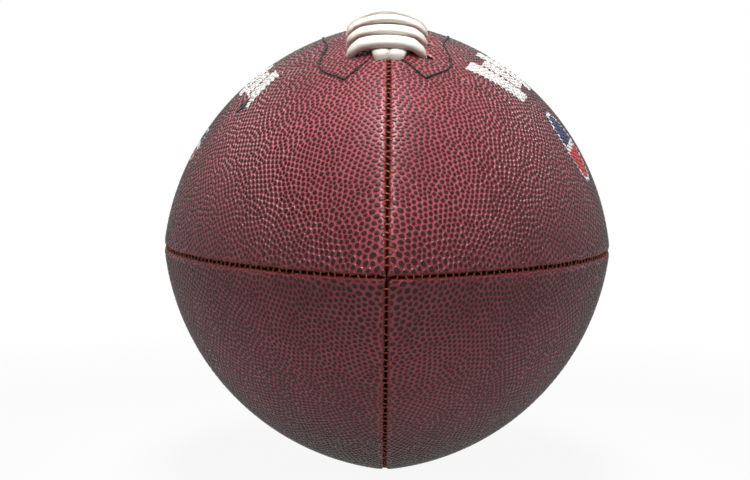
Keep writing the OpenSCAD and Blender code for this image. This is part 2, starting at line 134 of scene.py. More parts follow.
class Nodes:
    def __init__(self, tree):
        self.tree = tree

    def put(self, socket, value):
        if isinstance(value, Value):
            self.tree.links.new(value.socket, socket)
        else:
            socket.default_value = value

    def node(self, kind, settings, values, output=None):
        made = self.tree.nodes.new(kind)
        for name, value in settings.items():
            setattr(made, name, value)
        for key, value in values.items():
            by_name = [s for s in made.inputs if s.enabled and s.name == key]
            self.put(made.inputs[key] if isinstance(key, int) else by_name[0], value)
        shown = [s for s in made.outputs if s.enabled and output in (None, s.name)]
        return Value(self, shown[0])

    def place(self):
        return self.node("ShaderNodeTexCoord", {}, {}, "Object")

    def axis(self, vector, name):
        return self.node("ShaderNodeSeparateXYZ", {}, {"Vector": vector}, name)

    def attribute(self, name):
        return self.node("ShaderNodeAttribute", {"attribute_name": name}, {}, "Fac")

    def noise(self, scale, detail):
        values = {"Vector": self.place(), "Scale": scale, "Detail": detail}
        return self.node("ShaderNodeTexNoise", {}, values, "Fac")

    def mix(self, share, first, second):
        values = {"Factor": share, "A": first, "B": second}
        return self.node("ShaderNodeMix", {"data_type": "RGBA"}, values, "Result")


class Finish(Nodes):
    def __init__(self, name, **constants):
        self.material = bpy.data.materials.new(name)
        self.material.use_nodes = True
        super().__init__(self.material.node_tree)
        self.shader = self.tree.nodes["Principled BSDF"]
        for socket, value in constants.items():
            self.shader.inputs[socket.replace("_", " ")].default_value = value

    def set(self, socket, value):
        self.put(self.shader.inputs[socket], value)

    def bump(self, height, distance):
        self.set("Normal", self.node("ShaderNodeBump", {}, {"Height": height, "Distance": distance}))


def linear(code):
    """A colour written as six hex digits, as the shader's own linear values."""
    parts = [int(code[i:i + 2], 16) / 255 for i in (0, 2, 4)]
    return (*(c / 12.92 if c <= 0.04045 else ((c + 0.055) / 1.055) ** 2.4 for c in parts), 1)


CLOUD_BAND = (0.3, 0.7)
print("materials: mid grey, written 808080, is", round(linear("808080")[0], 3), "in a shader")

# %% [markdown]
# ## The panels' shape
#
# Each panel is part of a body of revolution about its own axis, which lies across the ball from it. Its
# outline is one arc with a small round nose at each tip. A squashed sphere would miss the ridges at the
# seams. The leather is laid out flat on a map that stretches both ways alike, so that pebbles stay round.

# %% Sizes of a panel, and its outline along the ball
HALF_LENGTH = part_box("panel_upper_right")[1].y / MM
SEAM_RADIUS = 87.5
PANEL_RADIUS = 84.0
NOSE_RADIUS = 12.0
TABLE_POINTS = 6001

own_axis = (SEAM_RADIUS**2 - PANEL_RADIUS**2) / (2 * PANEL_RADIUS - math.sqrt(2) * SEAM_RADIUS)
nose_centre = HALF_LENGTH - NOSE_RADIUS
belly_arc = (PANEL_RADIUS**2 + nose_centre**2 - NOSE_RADIUS**2) / (2 * (PANEL_RADIUS - NOSE_RADIUS))
arc_drop = belly_arc - PANEL_RADIUS
nose_angle = math.atan2(nose_centre, arc_drop)
tip_length = belly_arc * nose_angle + NOSE_RADIUS * (math.pi / 2 - nose_angle)


def outline(length):
    """Radius, place along the ball and tilt of the outline, at a length along it."""
    bend = np.minimum(np.abs(length) / belly_arc, nose_angle)
    tilt = bend + np.maximum(np.abs(length) - belly_arc * nose_angle, 0) / NOSE_RADIUS
    radius = belly_arc * np.cos(bend) - arc_drop + NOSE_RADIUS * (np.cos(tilt) - np.cos(bend))
    along = belly_arc * np.sin(bend) + NOSE_RADIUS * (np.sin(tilt) - np.sin(bend))
    return radius, np.copysign(along, length), np.copysign(tilt, length)


def unit(vectors):
    return vectors / np.linalg.norm(vectors, axis=-1, keepdims=True)


def edge_angle(radius):
    """Half of a panel's turn about its own axis, from its middle to a seam."""
    share = own_axis / (math.sqrt(2) * (radius + own_axis))
    return np.arccos(np.clip(share, -1, 1)) - math.pi / 4


table_length = np.linspace(-tip_length, tip_length, TABLE_POINTS)
table_turn = outline(table_length)[0] + own_axis
mean_turn = (table_turn[1:] + table_turn[:-1]) / 2
table_stretch = np.concatenate([[0], np.cumsum(np.diff(table_length) / mean_turn)])
table_stretch -= table_stretch[-1] / 2


def stretch_at(length):
    return np.interp(length, table_length, table_stretch)


print("outline: arc", round(belly_arc, 2), "mm, from tip to tip", round(2 * tip_length, 1), "mm")

# %% [markdown]
# At a seam the leather rolls in towards the ball and is sewn edge to edge inside. The roll is a quarter
# of an ellipse. It fades out where the panel runs to a point at the tip.

# %% From the flat map to the ball
ROLL_WIDTH = 1.5
ROLL_DEPTH = 1.7
ROLL_LENGTH = 2.52
SEAM_GAP = 0.35
ROLL_FADE_WIDTH = 2.0
HOLE_DIP_REACH = 1.2
TINY = 1e-6
MIDDLE = np.array([1.0, 0.0, 1.0]) / math.sqrt(2)
ACROSS = np.array([1.0, 0.0, -1.0]) / math.sqrt(2)
ALONG = np.array([0.0, 1.0, 0.0])
roll_overlap = ROLL_LENGTH - ROLL_WIDTH - SEAM_GAP


def roll_share(half):
    """How much of the roll a panel of this half width has: less only near the tips."""
    return np.clip(half / ROLL_FADE_WIDTH, 0, 1)


def frame_at(flat):
    """Radius about the panel's own axis, place along, tilt, edge angle and share of the roll."""
    radius, along, tilt = outline(np.interp(flat[:, 1], table_stretch, table_length))
    own, edge = radius + own_axis, edge_angle(radius)
    return own, along, tilt, edge, roll_share(own * edge) + TINY


def own_at(centre):
    return frame_at(centre[None, :])[0][0]


def away_from(centre, flat, own):
    """Distance in mm from one place on the flat map to others."""
    return np.hypot(*(flat - centre).T) * own


def surface(angle, own, along, tilt, lift):
    """Places on the ball, in mm from its centre, of the upper right panel lifted along its normal."""
    reach = (own + lift * np.cos(tilt))[:, None]
    round_axis = np.cos(angle)[:, None] * MIDDLE + np.sin(angle)[:, None] * ACROSS
    return reach * round_axis - own_axis * MIDDLE + (along + lift * np.sin(tilt))[:, None] * ALONG


def rolled(flat, lift, holes):
    """The leather's outside, rolled in at its seams and drawn in at its holes."""
    own, along, tilt, edge, share = frame_at(flat)
    inside = (edge - np.abs(flat[:, 0])) * own + roll_overlap * share
    bend = np.clip(inside / (ROLL_LENGTH * share), 0, 1) * math.pi / 2
    flat_part = np.maximum(inside - ROLL_LENGTH * share, 0)
    reach = share * (SEAM_GAP + ROLL_WIDTH * (1 - np.cos(bend))) + flat_part
    drop = share * ROLL_DEPTH * (1 - np.sin(bend))
    for centre, radius, dip in holes:
        away = away_from(centre, flat, own) - radius
        drop = drop + dip * np.exp(-np.maximum(away, 0) / HOLE_DIP_REACH)
    angle = np.copysign(edge - reach / own, flat[:, 0])
    return surface(angle, own, along, tilt, lift - drop)


def cut_place(places):
    """Where places on the ball lie on the leather as it was cut: across and along, in mm."""
    across, up, along = places @ ACROSS, places @ MIDDLE + own_axis, places @ ALONG
    out = np.hypot(across, up) - own_axis
    bend = np.arctan2(np.abs(along), out + arc_drop)
    nose = np.arctan2(np.abs(along) - nose_centre, out)
    on_nose = belly_arc * nose_angle + NOSE_RADIUS * (nose - nose_angle)
    length = np.where(bend < nose_angle, belly_arc * bend, on_nose)
    own = outline(length)[0] + own_axis
    return np.stack([own * np.arctan2(across, up), np.copysign(length, along)], -1)


print("roll: it takes", round(roll_overlap, 2), "mm more leather than a flat edge would")

# %% [markdown]
# ## Holes through the leather
#
# The lace passes through a row of round holes beside the top seam, and the valve through one in the
# upper left panel. A Boolean cut through the finished leather would leave ragged pebbles, so the holes'
# places are worked out on the ball and carried back to the flat map, where a small circle stays one.

# %% Places of the lace holes and the valve
BAR_COUNT = 8
BAR_PITCH = 16.4
HOLE_OFFSET = 14.0
HOLE_RADIUS = 2.5
END_HOLE_REACH = 6.5
STRAND_OFFSET = 3.4
VALVE_PLACE = 42.0
VALVE_HOLE_RADIUS = 3.6
SEAM_FIT_SHARE = 0.8
SEARCH_STEPS = 8


def surface_height(across, along):
    """Height of the upper right panel over the ball's axis."""
    own = math.sqrt(belly_arc**2 - along**2) - arc_drop + own_axis
    shift = own_axis / math.sqrt(2)
    return math.sqrt(own**2 - (across + shift) ** 2) - shift


seam_fit = SEAM_FIT_SHARE * HALF_LENGTH
seam_sag = SEAM_RADIUS - surface_height(0, seam_fit)
seam_arc = (seam_sag**2 + seam_fit**2) / (2 * seam_sag)
bar_angles = [(i - (BAR_COUNT - 1) / 2) * BAR_PITCH / seam_arc for i in range(BAR_COUNT)]
end_angle = bar_angles[-1] + END_HOLE_REACH / seam_arc


def over_seam(angle, across):
    """The place on the leather where a line square to the top seam meets it."""
    foot = SEAM_RADIUS - seam_arc
    height = seam_arc
    for _ in range(SEARCH_STEPS):
        low = foot + height * math.cos(angle)
        height += (surface_height(across, height * math.sin(angle)) - low) / math.cos(angle)
    return np.array([across, height * math.sin(angle), foot + height * math.cos(angle)])


def flat_place(place):
    cut = cut_place(place[None, :])
    own = outline(cut[:, 1])[0] + own_axis
    return np.array([cut[0, 0] / own[0], stretch_at(cut[0, 1])])


LACE_DIP = 0.7
VALVE_DIP = 0.35
lace_holes = [(flat_place(over_seam(a, HOLE_OFFSET)), HOLE_RADIUS, LACE_DIP) for a in bar_angles]
for end in (-end_angle, end_angle):
    lace_holes.append((flat_place(over_seam(end, STRAND_OFFSET)), HOLE_RADIUS, LACE_DIP))
valve_length = belly_arc * math.asin(VALVE_PLACE / belly_arc)
valve_hole = (np.array([0.0, stretch_at(-valve_length)]), VALVE_HOLE_RADIUS, VALVE_DIP)
print("holes:", len(lace_holes), "lace holes a side, the first at", lace_holes[0][0])

# %% [markdown]
# ## Pebbled leather as a mesh
#
# The pebbles stand up by about half a millimetre and show in the outline, so they are real geometry and
# not only bump. Scattered points are spread into near even rows, joined to triangles, and every point
# is bevelled into a small polygon. Each polygon is one pebble: it is inset and raised, and its top is
# poked to a dome. The triangles between them shrink to the valleys.

# %% Scattered points, spread evenly
PEBBLE_PITCH = 2.2
TIP_PEBBLE_PITCH = 2.75
TIP_PEBBLE_START = 142.0
ROW_SHARE = 0.87
JITTER_SHARE = 0.3
EDGE_STEP = 1.3


def pebble_pitch(length):
    share = np.clip((abs(length) - TIP_PEBBLE_START) / (tip_length - TIP_PEBBLE_START), 0, 1)
    return PEBBLE_PITCH + (TIP_PEBBLE_PITCH - PEBBLE_PITCH) * share


def panel_edge():
    """The panel's outline on the flat map, as one loop."""
    count = int(2 * tip_length / EDGE_STEP)
    length = np.linspace(-tip_length, tip_length, count)[1:-1]
    radius = outline(length)[0]
    own = radius + own_axis
    share = roll_share(own * edge_angle(radius))
    angle = edge_angle(radius) + roll_overlap * share / own
    right = np.stack([angle, stretch_at(length)], -1)
    left = right[::-1] * (-1, 1)
    ends = [np.array([[0, stretch_at(end)]]) for end in (-tip_length, tip_length)]
    return np.concatenate([ends[0], right, ends[1], left])


def hole_edge(centre, radius, count):
    turn = np.linspace(0, 2 * math.pi, count, endpoint=False)
    return centre + radius / own_at(centre) * np.stack([np.cos(turn), np.sin(turn)], -1)


def scatter(chance, pitch_at, holes):
    """Points in jittered rows over the flat map, clear of its edges and holes."""
    found = []
    length = -tip_length + pitch_at(tip_length)
    while length < tip_length - pitch_at(tip_length) / 2:
        pitch = pitch_at(length)
        radius = float(outline(np.array([length]))[0][0])
        own = radius + own_axis
        half = own * float(edge_angle(radius)) + roll_overlap - pitch / 2
        count = int(2 * half / pitch)
        if count > 0:
            slack = 2 * half - (count - 1) * pitch
            row = np.arange(count) * pitch - half + slack * chance.random()
            row = row + (chance.random(count) - 0.5) * 2 * JITTER_SHARE * pitch
            row = np.clip(row, -half, half)
            lengths = length + (chance.random(count) - 0.5) * 2 * JITTER_SHARE * pitch
            found.append(np.stack([row / own, stretch_at(lengths)], -1))
        length += ROW_SHARE * pitch
    points = np.concatenate(found)
    for centre, radius, _ in holes:
        clear = radius + PEBBLE_PITCH / 2
        points = points[away_from(centre, points, own_at(centre)) > clear]
    return points


print("pebbles: pitch", PEBBLE_PITCH, "mm, and", TIP_PEBBLE_PITCH, "mm at the tips")

# %% [markdown]
# The points are joined by a Delaunay triangulation, which keeps the panel's outline and its holes as
# edges. A few turns of smoothing and joining again even out the gaps, as soap bubbles settle in a raft.

# %% Join the points to a flat mesh
INSIDE_OUTLINE = 1
MERGE_DISTANCE = 1e-9
HOLE_INSIDE_SHARE = 0.97
SPREAD_ROUNDS = 4
SMOOTH_STEPS = 3
SMOOTH_SHARE = 0.6


def joined(points, loops, holes):
    """A bmesh of triangles on the flat map. Its loops' vertices carry their loop's number."""
    places = np.concatenate([*loops, points])
    edges = []
    first = 0
    owner = np.zeros(len(places), int)
    for number, loop in enumerate(loops):
        ring = np.arange(first, first + len(loop))
        edges += list(zip(ring.tolist(), np.roll(ring, -1).tolist()))
        owner[ring] = number + 1
        first += len(loop)
    made = delaunay_2d_cdt([Vector(p) for p in places.tolist()], edges, [], INSIDE_OUTLINE, MERGE_DISTANCE)
    bm = bmesh.new()
    mark = bm.verts.layers.int.new("loop")
    verts = []
    for place, origin in zip(made[0], made[3]):
        vert = bm.verts.new((*place, 0))
        vert[mark] = int(owner[origin[0]]) if origin else 0
        verts.append(vert)
    for face in made[2]:
        bm.faces.new([verts[i] for i in face])
    inside = []
    for face in bm.faces:
        centre = np.array(face.calc_center_median()[:2])
        for hole, radius, _ in holes:
            own = float(np.interp(centre[1], table_stretch, table_turn))
            if math.hypot(*(centre - hole)) * own < radius * HOLE_INSIDE_SHARE:
                inside.append(face)
                break
    bmesh.ops.delete(bm, geom=inside, context="FACES")
    return bm


def free_verts(bm):
    mark = bm.verts.layers.int["loop"]
    return [v for v in bm.verts if v[mark] == 0 and not v.is_boundary]


def spread(points, loops, holes):
    for _ in range(SPREAD_ROUNDS):
        bm = joined(points, loops, holes)
        free = free_verts(bm)
        for _ in range(SMOOTH_STEPS):
            bmesh.ops.smooth_vert(bm, verts=free, factor=SMOOTH_SHARE, use_axis_x=True, use_axis_y=True)
        points = np.array([v.co[:2] for v in free])
        bm.free()
    return points


print("spread:", SPREAD_ROUNDS, "rounds of", SMOOTH_STEPS, "smoothing steps")

# %% [markdown]
# The flat mesh is bevelled there, laid on the ball, and only then inset and raised, so that a pebble
# stands square to the leather under it. A second, coarser mesh with the same edges makes the flesh side,
# and bridging the edges gives each panel its thickness.

# %% Lay a flat mesh on the ball, outside or inside
LEATHER_WALL = 2.0
FLANGE_DEPTH = 1.0


def lay(bm, place_of):
    flat = np.array([v.co[:2] for v in bm.verts])
    for vert, place in zip(bm.verts, place_of(flat)):
        vert.co = place


def flesh_place(flat):
    own, along, tilt, edge, share = frame_at(flat)
    inside = np.maximum((edge - np.abs(flat[:, 0])) * own + roll_overlap * share, 0)
    reach = share * SEAM_GAP + inside * (1 - (SEAM_GAP - roll_overlap) * share / (own * edge + TINY))
    wall = LEATHER_WALL + FLANGE_DEPTH * share * np.exp(-inside)
    return surface(np.copysign(edge - reach / own, flat[:, 0]), own, along, tilt, -wall)


print("leather:", LEATHER_WALL, "mm thick, and", FLANGE_DEPTH, "more at its edges")

# %% Raise the pebbles
PEBBLE_HEIGHT = 0.42
PEBBLE_DOME = 0.1
FLANK_SHARE = 0.42
FULL_PEBBLE_RADIUS = 0.6
SIZE_CLASSES = 14
SIZE_JITTER = 0.1
OUTWARD_LEAST = 0.7


def raise_pebbles(bm, pebbles, chance):
    """Insets and raises the pebbles in classes of size. Those that turn into a seam stay flat."""
    bm.normal_update()
    open_ones = []
    for face in pebbles:
        place = np.array(face.calc_center_median())
        outward = unit(place + own_axis * MIDDLE - (place @ ALONG) * ALONG)
        along = place @ ALONG / belly_arc
        outward = outward * math.sqrt(max(1 - along**2, 0)) + ALONG * along
        if outward @ np.array(face.normal) > OUTWARD_LEAST:
            open_ones.append(face)
    inner = np.array([2 * face.calc_area() / face.calc_perimeter() for face in open_ones])
    order = np.argsort(inner * (1 + SIZE_JITTER * chance.random(len(inner))))
    top = bm.verts.layers.float.new("pebble_top")
    for group in np.array_split(order, SIZE_CLASSES):
        faces = [open_ones[i] for i in group]
        least = float(inner[group].min())
        height = PEBBLE_HEIGHT * min(1, least / FULL_PEBBLE_RADIUS)
        for face in faces:
            for edge in face.edges:
                edge.smooth = False
        bmesh.ops.inset_individual(bm, faces=faces, thickness=FLANK_SHARE * least, depth=height,
                                   use_even_offset=False)
        for face in faces:
            for vert in face.verts:
                vert[top] = 1
    made = bmesh.ops.poke(bm, faces=open_ones, offset=PEBBLE_DOME, center_mode="MEAN")
    for vert in made["verts"]:
        vert[top] = 1


print("pebbles:", PEBBLE_HEIGHT, "mm high, in", SIZE_CLASSES, "sizes")

# %% Mark the depth of the seams, where shade is painted
HOLE_SHADE_WIDTH = 0.6


def seam_shade(cut, holes):
    """1 in the depth of a seam or the rim of a hole and 0 on the open leather: how much shade is painted
    there.
    """
    radius = outline(cut[:, 1])[0]
    own = radius + own_axis
    half = own * edge_angle(radius)
    share = roll_share(half) + TINY
    shade = 1 - ((half - np.abs(cut[:, 0])) / share - SEAM_GAP) / ROLL_WIDTH
    flat = np.stack([cut[:, 0] / own, stretch_at(cut[:, 1])], -1)
    for centre, rim, _ in holes:
        shade = np.maximum(shade, 1 - (away_from(centre, flat, own) - rim) / HOLE_SHADE_WIDTH)
    return np.clip(shade, 0, 1)


print("shade: from the seam's line to", ROLL_WIDTH, "mm beside it")

# %% A whole panel
PEBBLE_BEVEL = 46
FLESH_STEP = 7.0
LOOP_POINTS = 20


def leather_panel(seed, holes, mirror):
    """The upper right panel, carried to its own place by turning two directions round."""
    chance = np.random.default_rng(seed)
    loops = [panel_edge()] + [hole_edge(centre, radius, LOOP_POINTS) for centre, radius, _ in holes]
    points = spread(scatter(chance, pebble_pitch, holes), loops, holes)
    bm = joined(points, loops, holes)
    bevelled = bmesh.ops.bevel(bm, geom=free_verts(bm), offset=PEBBLE_BEVEL, offset_type="PERCENT",
                               segments=1, profile=0.5, affect="VERTICES", material=-1)
    lay(bm, lambda flat: rolled(flat, -PEBBLE_HEIGHT, holes))
    raise_pebbles(bm, bevelled["faces"], chance)

    flesh = joined(scatter(chance, lambda length: FLESH_STEP, holes), loops, holes)
    lay(flesh, flesh_place)
    bmesh.ops.reverse_faces(flesh, faces=flesh.faces)
    rear = bpy.data.meshes.new("flesh")
    flesh.to_mesh(rear)
    flesh.free()
    bm.from_mesh(rear)
    bpy.data.meshes.remove(rear)
    mark = bm.verts.layers.int["loop"]
    for number in range(1, len(loops) + 1):
        rim = [e for e in bm.edges if e.is_boundary and e.verts[0][mark] == e.verts[1][mark] == number]
        bmesh.ops.bridge_loops(bm, edges=rim)

    cut = cut_place(np.array([v.co[:] for v in bm.verts]))
    sheet = bm.loops.layers.uv.new("cut")
    # Painted shade: how deep each place lies in a seam or at the rim of a hole.
    shade_layer = bm.verts.layers.float.new("seam_shade")
    for vert, shade in zip(bm.verts, seam_shade(cut, holes)):
        vert[shade_layer] = shade
    bm.verts.index_update()
    for face in bm.faces:
        face.smooth = True
        for corner in face.loops:
            corner[sheet].uv = cut[corner.vert.index] * MM
    scale = Matrix.Diagonal((mirror[0] * MM, MM, mirror[1] * MM, 1))
    bmesh.ops.transform(bm, matrix=Matrix.Translation((0, 0, AXIS_HEIGHT)) @ scale, verts=bm.verts)
    if mirror[0] * mirror[1] < 0:
        bmesh.ops.reverse_faces(bm, faces=bm.faces)
    return bm


print("panels: a pebble reaches", PEBBLE_BEVEL, "% of the way to the next")

# %% A finished piece
def object_from(bm, name, finish):
    mesh = bpy.data.meshes.new(name)
    bm.to_mesh(mesh)
    bm.free()
    mesh.materials.append(finish)
    made = bpy.data.objects.new(name, mesh)
    scene.collection.objects.link(made)
    return made


def piece_from(bm, name, finish, node_names):
    """Turns a bmesh into a finished piece that stands for its construction nodes."""
    piece = object_from(bm, name, finish)
    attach(piece, "ball")
    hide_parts(*node_names)
    print(name + ":", sum(len(p.vertices) - 2 for p in piece.data.polygons), "triangles")

# %% [markdown]
# ## The leather's finish and its prints
#
# The hide is dyed red through, and a dark finish lies on the pebbles' tops only. The mesh marks the tops,
# so the two meet exactly at the pebbles' shoulders. Prints are placed in millimetres on the leather as it
# was cut. They are plain slanted bars and plain oval badges, which are not the real ball's marks.
# Shade is painted into the depth of the seams and at the rims of the holes.

# %% Colours of the leather and its prints
DARK_TOP = (linear("1c0f0d"), linear("301b18"))
RED_VALLEY = (linear("973c46"), linear("b4545f"))
# The next two colours are painted shade: near black in the depth of a seam and at the rims of holes, and a
# darker red on the roll's shoulder.
SEAM_DEEP_SHADE = linear("1a0c0b")
SEAM_HALF_SHADE = linear("7c2a22")
PRINT_WHITE = linear("d6d3cf")
PRINT_NAVY = linear("1c2350")
PRINT_RED = linear("b3242f")
print("leather: the valleys have", round(RED_VALLEY[0][0] / DARK_TOP[0][0]), "times the tops' red")

# %% A row of slanted bars
PRINT_EDGE = 0.4
ROW_END_EDGE = 0.1
SHORT_BAR_SHARE = 0.16


def bars(across, along, low, high, start, slant, pitch, gap, count):
    """Slanted bars in a row along the panel, every second one a little shorter."""
    run = along - start - (across - low) * slant
    part = run.maths("MODULO", pitch)
    stripe = part.step(0, PRINT_EDGE) * part.step(pitch - gap + PRINT_EDGE, pitch - gap)
    ends = run.step(0, ROW_END_EDGE) * run.step(pitch * count, pitch * count - ROW_END_EDGE)
    odd = (run / pitch).maths("FLOOR").maths("MODULO", 2)
    shorter = odd * (SHORT_BAR_SHARE * (high - low))
    tall = (across - shorter).step(low - PRINT_EDGE, low) * (across + shorter).step(high + PRINT_EDGE, high)
    return stripe * ends * tall


print("bars: every second one ends", SHORT_BAR_SHARE, "of the row's width sooner")

# %% A plain oval badge
BADGE_OUTLINE = (1.0, 0.98)
BADGE_RIM = (0.90, 0.92)
BADGE_RING = (0.80, 0.82)
BADGE_BAND = (1.5, 1.1)
BADGE_SPLIT = (-0.2, 0.2)


def with_badge(leather, colour, across, along, centre, half):
    """Lays a badge on a colour: a navy and a red half, a white band and ring, and a navy rim."""
    wide = (across - centre[0]) / half[0]
    long = (along - centre[1]) / half[1]
    away = (wide * wide + long * long).maths("SQRT")
    lower = (across - centre[0]).step(*BADGE_SPLIT)
    band = abs(across - centre[0]).step(*BADGE_BAND)
    inner = leather.mix(lower, PRINT_NAVY, PRINT_RED)
    inside = leather.mix(away.step(*BADGE_RING).most(band), inner, PRINT_WHITE)
    inside = leather.mix(away.step(*BADGE_RIM), inside, PRINT_NAVY)
    return leather.mix(away.step(*BADGE_OUTLINE), colour, inside)


print("badge: its rim starts at", BADGE_RIM[0], "of the way out")

# %% The leather with its prints
TOP_BAND = (0.38, 0.7)
OPEN_BAND = (0.45, 0.1)
SEAM_HALF_SHADE_BAND = (0.25, 0.5)
SEAM_DEEP_SHADE_BAND = (0.55, 0.9)
FLECK_NOISE = (700.0, 1.0)
PATCH_NOISE = (28.0, 2.0)
GRAIN_NOISE = (2600.0, 2.0)
GRAIN_DEPTH = 0.00004
PATCH_SHARE = 0.6
FLECK_SHARE = 0.4


def pebbled_leather(name, row=None, badge=None):
    leather = Finish(name, Specular_IOR_Level=0.24)
    shade = leather.attribute("seam_shade")
    top = leather.attribute("pebble_top").step(*TOP_BAND) * shade.step(*OPEN_BAND)
    fleck = leather.noise(*FLECK_NOISE)
    patch = leather.noise(*PATCH_NOISE)
    dark = leather.mix(fleck.step(*CLOUD_BAND), *DARK_TOP)
    red = leather.mix((patch * PATCH_SHARE + fleck * FLECK_SHARE).step(*CLOUD_BAND), *RED_VALLEY)
    colour = leather.mix(top, red, dark)
    sheet = leather.node("ShaderNodeUVMap", {"uv_map": "cut"}, {})
    across = leather.axis(sheet, "X") / MM
    along = leather.axis(sheet, "Y") / MM
    if row:
        colour = leather.mix(bars(across, along, **row), colour, PRINT_WHITE)
    if badge:
        colour = with_badge(leather, colour, across, along, *badge)
    # Painted shade: a darker red, then near black, deeper into a seam and at the rims of holes.
    colour = leather.mix(shade.step(*SEAM_HALF_SHADE_BAND), colour, SEAM_HALF_SHADE)
    colour = leather.mix(shade.step(*SEAM_DEEP_SHADE_BAND), colour, SEAM_DEEP_SHADE)
    leather.set("Base Color", colour)
    leather.set("Roughness", 0.26 + 0.06 * top + 0.05 * patch + 0.2 * shade)
    leather.bump(leather.noise(*GRAIN_NOISE), GRAIN_DEPTH)
    return leather.material


RIGHT_ROW = dict(low=-30.0, high=-5.5, start=-55.0, slant=0.25, pitch=13.3, gap=1.6, count=8)
LEFT_ROW = dict(low=-18.0, high=-1.5, start=-43.0, slant=-0.5, pitch=12.0, gap=1.4, count=7)
plain_leather = pebbled_leather("pebbled_leather")
right_leather = pebbled_leather("pebbled_leather_right", RIGHT_ROW, ((20.0, -33.0), (17.0, 12.0)))
left_leather = pebbled_leather("pebbled_leather_left", LEFT_ROW, ((24.0, -17.5), (8.0, 9.0)))
print("prints:", RIGHT_ROW["count"], "bars on the right and", LEFT_ROW["count"], "on the left")

# %% The four panels
PANELS = {
    "upper_right": (11, lace_holes, (1, 1), right_leather),
    "upper_left": (12, [*lace_holes, valve_hole], (-1, 1), left_leather),
    "lower_right": (13, [], (1, -1), plain_leather),
    "lower_left": (14, [], (-1, -1), plain_leather),
}
for where, (seed, holes, mirror, finish) in PANELS.items():
    panel = leather_panel(seed, holes, mirror)
    piece_from(panel, "leather_" + where, finish, ["panel_" + where])

# %% [markdown]
# ## Threads and lace as swept tubes
#
# Every thread and every length of lace is one closed tube: rings of a rounded section along a path. A
# superellipse gives the flat lace its soft corners, and a plain ellipse gives thread.

# %% A closed tube along a path
THREAD_SIDES = 6
THREAD_POWER = 2.0


def sweep(bm, centres, across, out, widths, heights, sides=THREAD_SIDES, power=THREAD_POWER):
    turn = (np.arange(sides) + 0.5) * 2 * math.pi / sides
    wide = np.sign(np.cos(turn)) * np.abs(np.cos(turn)) ** (2 / power) / 2
    high = np.sign(np.sin(turn)) * np.abs(np.sin(turn)) ** (2 / power) / 2
    rings = []
    for centre, side, up, width, height in zip(centres, across, out, widths, heights):
        places = centre + np.outer(wide * width, side) + np.outer(high * height, up)
        rings.append([bm.verts.new(place) for place in places])
    for first, second in zip(rings, rings[1:]):
        for i in range(sides):
            j = (i + 1) % sides
            bm.faces.new((first[i], first[j], second[j], second[i]))
    bm.faces.new(rings[0])
    bm.faces.new(rings[-1])


def to_ball(bm):
    """Carries a mesh in mm about the ball's centre to its place, and makes it smooth."""
    home = Matrix.Translation((0, 0, AXIS_HEIGHT)) @ Matrix.Scale(MM, 4)
    bmesh.ops.transform(bm, matrix=home, verts=bm.verts)
    bmesh.ops.recalc_face_normals(bm, faces=bm.faces)
    for face in bm.faces:
        face.smooth = True
    return bm


print("tubes: thread has", THREAD_SIDES, "sides")

# %% [markdown]
# The panels are sewn inside out with a waxed thread and turned, so that only short bridges of thread
# show at the bottom of each seam. They pull a little askew, each in its own way.

# %% The seam's line
SEAM_POINTS = 4001
slit_half = seam_arc * math.sin(end_angle) + 2 * HOLE_RADIUS
seam_lengths = np.linspace(-tip_length, tip_length, SEAM_POINTS)
seam_radii, seam_along, _ = outline(seam_lengths)
seam_own = seam_radii + own_axis
seam_out = seam_own * np.cos(edge_angle(seam_radii) - math.pi / 4) - own_axis / math.sqrt(2)
seam_run = np.concatenate([[0], np.cumsum(np.hypot(np.diff(seam_out), np.diff(seam_along)))])
print("seam:", round(seam_run[-1], 1), "mm long, and the slit is", round(2 * slit_half, 1), "mm of it")

# %% Thread bridges in one seam
STITCH_PITCH = 3.2
STITCH_JITTER = 0.8
TIP_MARGIN = 4.0
THREAD_WIDTH = 0.5
THREAD_REACHES = np.array([-1.1, -0.62, 0.0, 0.62, 1.1])
THREAD_DEPTHS = np.array([1.6, 1.0, 0.78, 1.0, 1.6])
THREAD_SLANT = 0.6
THREAD_LEAN = 0.2
THREAD_SLACK = 0.12
TANGENT_STEPS = (-0.5, 0.5)


def seam_stitches(seed, turn, skip_half):
    """One seam's thread bridges. The seam lies at a turn about the ball's axis from the top."""
    chance = np.random.default_rng(seed)
    bm = bmesh.new()
    out = np.array([math.sin(turn), 0, math.cos(turn)])
    side = np.array([math.cos(turn), 0, -math.sin(turn)])
    for run in np.arange(TIP_MARGIN, seam_run[-1] - TIP_MARGIN, STITCH_PITCH):
        place = run + (chance.random() - 0.5) * STITCH_JITTER
        slant, lean, slack = (chance.random(3) - 0.5) * 2
        along = np.interp(place, seam_run, seam_along)
        if abs(along) < skip_half:
            continue
        nearby = [np.interp(place + d, seam_run, seam_out) for d in TANGENT_STEPS]
        ahead = [np.interp(place + d, seam_run, seam_along) for d in TANGENT_STEPS]
        tangent = unit((nearby[1] - nearby[0]) * out + (ahead[1] - ahead[0]) * ALONG)
        up = np.cross(tangent, side)
        up *= np.sign(up @ out)
        middle = np.interp(place, seam_run, seam_out) * out + along * ALONG
        depths = THREAD_DEPTHS + THREAD_SLACK * slack
        shift = (THREAD_REACHES / THREAD_REACHES[-1] * slant + THREAD_LEAN * lean) * THREAD_SLANT
        centres = middle + np.outer(THREAD_REACHES, side) + np.outer(shift, tangent) - np.outer(depths, up)
        way = unit(np.gradient(centres, axis=0))
        width = unit(tangent - (way @ tangent)[:, None] * way)
        thick = [THREAD_WIDTH] * len(centres)
        sweep(bm, centres, width, np.cross(way, width), thick, thick)
    return to_ball(bm)


print("stitches: one every", STITCH_PITCH, "mm of a seam")

# %% Thread's finish, and the four seams
TWIST_NOISE = (3000.0, 1.0)
TWIST_DEPTH = 0.00008


